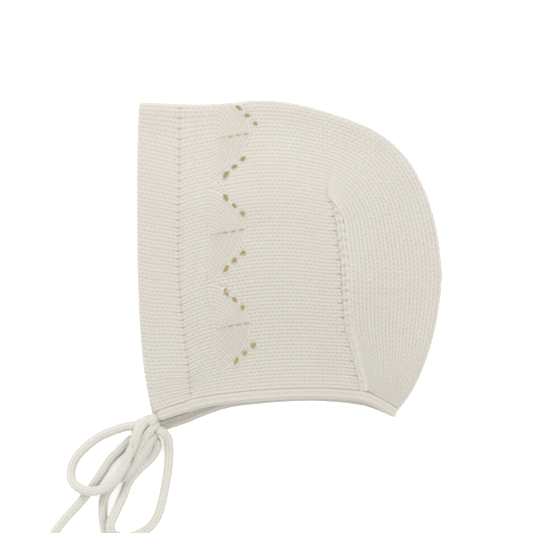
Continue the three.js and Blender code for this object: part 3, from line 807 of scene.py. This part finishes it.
# From the scallops to the seam, or to the strip above the corner, with painted shade where the wales
# meet the seam
def behindLace(weave, lower, inner, sizes):
    before = wales["toCorner"]
    course, wale = lattice(before + wales["toSeam"], wales["side"], *samples(inner))
    top = wale >= wales["corner"]
    lean = 0 if inner else legLean(wale)
    reached = np.where(top, np.minimum(course, before), course) - before
    place = besideCorner(reached + lean, wale, lower, lace["tuck"] * (3 if inner else 1))
    relief = stitchRelief(course, wale, sizes, inner)
    if not inner:
        away = place[0][..., 0] - scallopX(wale) + lace["tuck"]
        raised = lerp(lace["sunk"], 1, ramp(away / (2 * lace["tuck"])))
        relief = relief * np.where(wale < arrowWale[0], 1, raised)
        # Painted shade in dashes where the wales meet the seam, weaker on every other wale
        toSeam = np.where(top, 9, panelEndX(upOf(wale)) - place[0][..., 0])
        between = ramp(np.abs(2 * (wale % 1) - 1) * 2.5 - 1.5)
        dash = ridge["dashDark"] * np.exp(-((toSeam / ridge["dash"]) ** 2)) * between
        dash = dash * np.where(np.round(wale) % 2 == 0, 1, ridge["everyOther"])
        relief = relief * (1 - dash)
    offSurface(weave, place, relief, inner, lower, (0, 0, 0.5, 1), dark=0 if inner else 1.5 * dash)


def sideLattices(weave, lower, inner, sizes):
    frontOfLace(weave, lower, inner, sizes)
    for k in range(3):
        fan(weave, lower, inner, sizes, k)
    behindLace(weave, lower, inner, sizes)


# Stations evenly spaced along the middle of the strip
def stationsAt(course):
    fine = np.linspace(0, lastStation, 500)
    line = stripAt(fine, np.full(500, wales["stripMiddle"]), False)[0]
    travel = np.concatenate([[0], np.linalg.norm(np.diff(line, axis=0), axis=1).cumsum()])
    return np.interp(course / wales["stripCourses"] * travel[-1], travel, fine)


def stripLattice(weave, lower, inner, sizes):
    courses = wales["stripCourses"]
    course, wale = lattice(courses, wales["strip"], *samples(inner))
    lean = 0 if inner else legLean(wale) * np.clip(courses - course, 0, 1)
    relief = stitchRelief(course + wales["toCorner"], wale + wales["corner"], sizes, inner)
    points, normal = stripAt(stationsAt(course + lean), wale / wales["strip"], lower)
    long = np.linalg.norm(np.gradient(points, axis=0), axis=-1) * samples(inner)[0]
    squeezed = lerp(1, lerp(0.35, 1, ramp((long - 0.4) / 1.2)), ramp(course / 3))
    relief = 1 - (1 - relief) * squeezed
    if not inner:
        leg = np.interp(wale, [0, 0.25, 0.5], [0.75, 0.9, 0]) * ramp(course / 2)
        relief = np.maximum(relief, leg * ramp((wales["legUntil"] - course) / wales["legFades"]))
    offSurface(weave, (points, normal), relief, inner, lower, (0.78, 0, 1, 1), turn=True)


def makeSide(name, lower, inner, *nodes):
    sizes = stitchSizes(seeds["side"] + lower)
    weave = Weave(name)
    sideLattices(weave, lower, inner, sizes)
    stripLattice(weave, lower, inner, sizes)
    # The far layer's inner side takes the painted glow
    weave.build(insideYarn if inner and lower else yarn, "yarn", *nodes)


# A ring of yarn round each eyelet, in painted shade and painted glow
def makeRims(lower):
    weave = Weave("eyelet_rims_far" if lower else "eyelet_rims_near")
    places = eyelets()
    for k, (x, y, tilt, halfLength, halfWidth) in enumerate(places):
        turns, rounds = np.linspace(0, 2 * math.pi, 17), np.arange(6) / 6 * 2 * math.pi
        turn, round_ = np.meshgrid(turns, rounds, indexing="ij")
        grown = lace["rimWidth"] * np.cos(round_) + lace["rimOut"]
        long, wide = np.cos(turn) * (halfLength + grown), np.sin(turn) * (halfWidth + grown)
        px = x + long * math.cos(tilt) - wide * math.sin(tilt)
        py = y + long * math.sin(tilt) + wide * math.cos(tilt)
        radius = bonnet["foldRadius"]
        drop = radius - radius * np.sqrt(1 - np.clip(1 - distanceToFold(px, py) / radius, 0, 1) ** 2)
        middle = 2 * radius + rise(px, py) - lace["rimSink"] - drop
        middle = drop + 0.5 * lace["rimDepth"] if lower else middle
        z = middle + lace["rimDepthBelow" if lower else "rimDepth"] * np.sin(round_)
        tile = (k / len(places), 0, (k + 1) / len(places), 1)
        # Painted shade, darkest on the ring's inner and lower side
        shade = 0.35 - 0.35 * np.sin(round_) - 0.25 * np.cos(round_)
        weave.add(np.stack([px, py, z], -1), shade, tile, closed=True)
    weave.build(rimYarn, "yarn")


makeRims(False)
makeRims(True)
makeSide("knit_near", False, False, "knit_body")
makeSide("knit_far", True, False)
makeSide("knit_near_inside", False, True)
makeSide("knit_far_inside", True, True)


# The hem's section: its face from the groove to the edge, round it, and back inside
def hemLattice(weave, lower, sizes, tile):
    courses = hem["courses"]
    course, wale = lattice(courses, wales["side"], layer["alongSamples"], layer["acrossSamples"])
    v = upOf(wale)
    half = hem["thickness"] / 2
    width = grooveX(v) - edgeX(v)
    face, bend = width - half, math.pi * half
    leaned = np.clip(course + legLean(wale) * np.clip(course, 0, 1), 0, courses)
    travel = leaned / courses * (2 * face + bend)
    turned = np.clip((travel - face) / half, 0, math.pi)
    x = edgeX(v) + half - half * np.sin(turned)
    x = np.where(travel < face, grooveX(v) + hem["overlap"] - travel, x)
    x = np.where(travel > face + bend, edgeX(v) + half + travel - face - bend, x)
    depth = half - half * np.cos(turned)
    dash = grooveDash(travel, wale)
    relief = stitchRelief(course, wale, sizes) * (1 - dash)
    dip = grooveDepth(grooveX(v) - x, v) * np.where(travel < face, 1, -1)
    points, normal = panelAt(x, v, lower)
    out = (relief - 1) * gauge["relief"] * hem["flatness"] + layer["proud"]
    forward = np.zeros(points.shape)
    forward[..., 0] = -np.sin(turned)
    outward = normal * np.cos(turned)[..., None] + forward
    surface = points - normal * (depth + dip)[..., None] + outward * out[..., None]
    # Painted shade in the gaps between the stitches and in the groove's dashes
    weave.add(surface, 1 - relief + dash, tile, flip=not lower)


hemWeave = Weave("hem")
hemLattice(hemWeave, False, stitchSizes(seeds["hem"]), (0, 0, 0.5, 1))
hemLattice(hemWeave, True, stitchSizes(seeds["hem"] + 1), (0.5, 0, 1, 1))
hemWeave.build(yarn, "yarn", "front_band")

neckBand = {
    "height": 6.2, "thickness": 3.4, "gap": -1.0, "proud": 0.3, "courses": 136, "wales": 4, "inset": 0.2,
    "stations": 120, "rounded": 2.4, "softened": 16, "lineCount": 45, "runCount": 15,
    "squareness": 0.75, "relief": 0.8,
}


# A line averaged over some of its neighbours
def smoothed(points, count):
    kernel, pad = np.hanning(count) / np.hanning(count).sum(), count // 2
    padded = np.pad(points, ((pad, pad), (0, 0)), mode="edge")
    return np.stack([np.convolve(padded[:, c], kernel, "valid") for c in range(3)], 1)


# The band round the neck: a flat knitted tube hung from the edges of both layers
def makeNeckBand():
    back = seamAt(1)[0] - seam["width"] / 2
    x = np.linspace(edgeX(0.0) + neckBand["inset"], back, neckBand["stations"])
    w = np.linspace(0, 1, 60)[3:]
    halves = []
    for lower in (False, True):
        side, strip = panelAt(x, 0.0, lower), stripAt(np.full(w.shape, lastStation), w, lower)
        halves.append([np.concatenate(pair) for pair in zip(side, strip)])
    line = np.concatenate([halves[0][0], halves[1][0][::-1][1:]])
    normal = np.concatenate([halves[0][1], halves[1][1][::-1][1:]])
    travel = np.concatenate([[0], np.linalg.norm(np.diff(line, axis=0), axis=1).cumsum()])
    rows = neckBand["courses"] * 4
    even = np.linspace(0, travel[-1], rows + 1)
    line, normal = resampled(even, travel, line), resampled(even, travel, normal)
    toSeam = travel[neckBand["stations"] - 1]
    joints = toSeam, travel[-1] - toSeam
    beside = [ramp(1.3 - np.abs(even - joint) / neckBand["softened"]) for joint in joints]
    line = lerp(line, smoothed(line, neckBand["lineCount"]), (beside[0] + beside[1])[:, None])
    run = smoothed(np.gradient(line, axis=0), neckBand["runCount"])
    down = np.cross(run, normal)
    down /= np.linalg.norm(down, axis=1)[:, None]
    course, wale = lattice(neckBand["courses"], neckBand["wales"], 4, 8)
    course, wale = course[:, :-1], wale[:, :-1]
    relief = stitchRelief(course - legLean(wale), wale, stitchSizes(seeds["neckBand"]))
    angle = wale / neckBand["wales"] * 2 * math.pi
    half = neckBand["height"] / 2, neckBand["thickness"] / 2
    toEnd = np.minimum(course, neckBand["courses"] - course) * travel[-1] / neckBand["courses"]
    closing = roundedEnd(toEnd, neckBand["rounded"])
    lift = (relief - 1) * gauge["relief"] * neckBand["relief"]
    power = neckBand["squareness"]
    wide = np.sign(np.cos(angle)) * np.abs(np.cos(angle)) ** power * (half[0] + lift)
    thick = np.sign(np.sin(angle)) * np.abs(np.sin(angle)) ** power * (half[1] + lift)
    hang = half[0] + neckBand["gap"] + wide * closing
    into = half[1] - neckBand["proud"] - thick * closing
    surface = line[:, None] + down[:, None] * hang[..., None] - normal[:, None] * into[..., None]
    weave = Weave("neck_band_knit")
    # Painted shade in the gaps between the stitches
    weave.add(surface, 1 - relief, (0, 0, 1, 1), closed=True)
    weave.build(yarn, "yarn", "neck_band")


makeNeckBand()


# The ridge between the side panel and the back strip: uneven lumps that get lower towards the neck, with
# painted shade between its stitches and strands and in a line beside it
def makeSeam(lower, *nodes):
    weave = Weave("seam_far" if lower else "seam_near")
    course, wale = lattice(ridge["courses"], 1, 6, 20)
    down = lerp(ridge["start"], 1, course / ridge["courses"])
    x, y, half = seamAt(down)
    y = y - (neckDrop(x) * down**3 if lower else 0)
    side, travel = wale * 2 - 1, course * gauge["course"]
    lump = 0.5 - 0.5 * np.cos(2 * math.pi * travel / ridge["lump"] + 0.9 * side)
    strand = np.sin(2 * math.pi * travel / ridge["strand"] + 2.4 * side)
    strand = strand * np.sin(0.71 * travel - 2.9 * side)
    x = x + side * half * (1 + 0.2 * (lump - 0.5) * (side < 0) + 0.08 * (side > 0))
    top = 0.0 if lower else 2 * bonnet["foldRadius"] + rise(x, y)
    fade = lerp(1, ridge["faded"], ramp((down - ridge["fades"]) / 0.35))
    profile = np.clip(1 - side**2, 0, 1) ** 0.6 * ramp(half / 1.5)
    lift = fade * profile * (ridge["height"] * lerp(0.35, 1, lump) + ridge["rough"] * strand)
    knit = stitchRelief(course - legLean(wale), wale, stitchSizes(seeds["seam"]))
    lift = lift + ridge["knit"] * (knit - 1) * profile
    lift = lift - np.where(side < 0, ridge["tuck"], ridge["tuck"] / 4) + layer["proud"] - ridge["sink"]
    z = np.maximum(top - lift, -layer["proudBelow"]) if lower else top + lift
    # Painted shade beside the ridge between the lumps, fading away from the corner
    beside = np.exp(-(((side - 0.9) / 0.18) ** 2)) * ramp(1 - 2.2 * lump) * ramp(3 - 4.2 * down)
    dark = (0.8 * (1 - knit) + 0.15 * (1 - strand)) * np.clip(1 - side**2, 0, 1) + 0.9 * beside
    weave.add(np.stack([x, y, z], -1), dark, (0, 0, 1, 1), flip=not lower)
    weave.build(yarn, "yarn", *nodes)


makeSeam(False, "seam_left")
makeSeam(True, "seam_right")
print("knitting made")
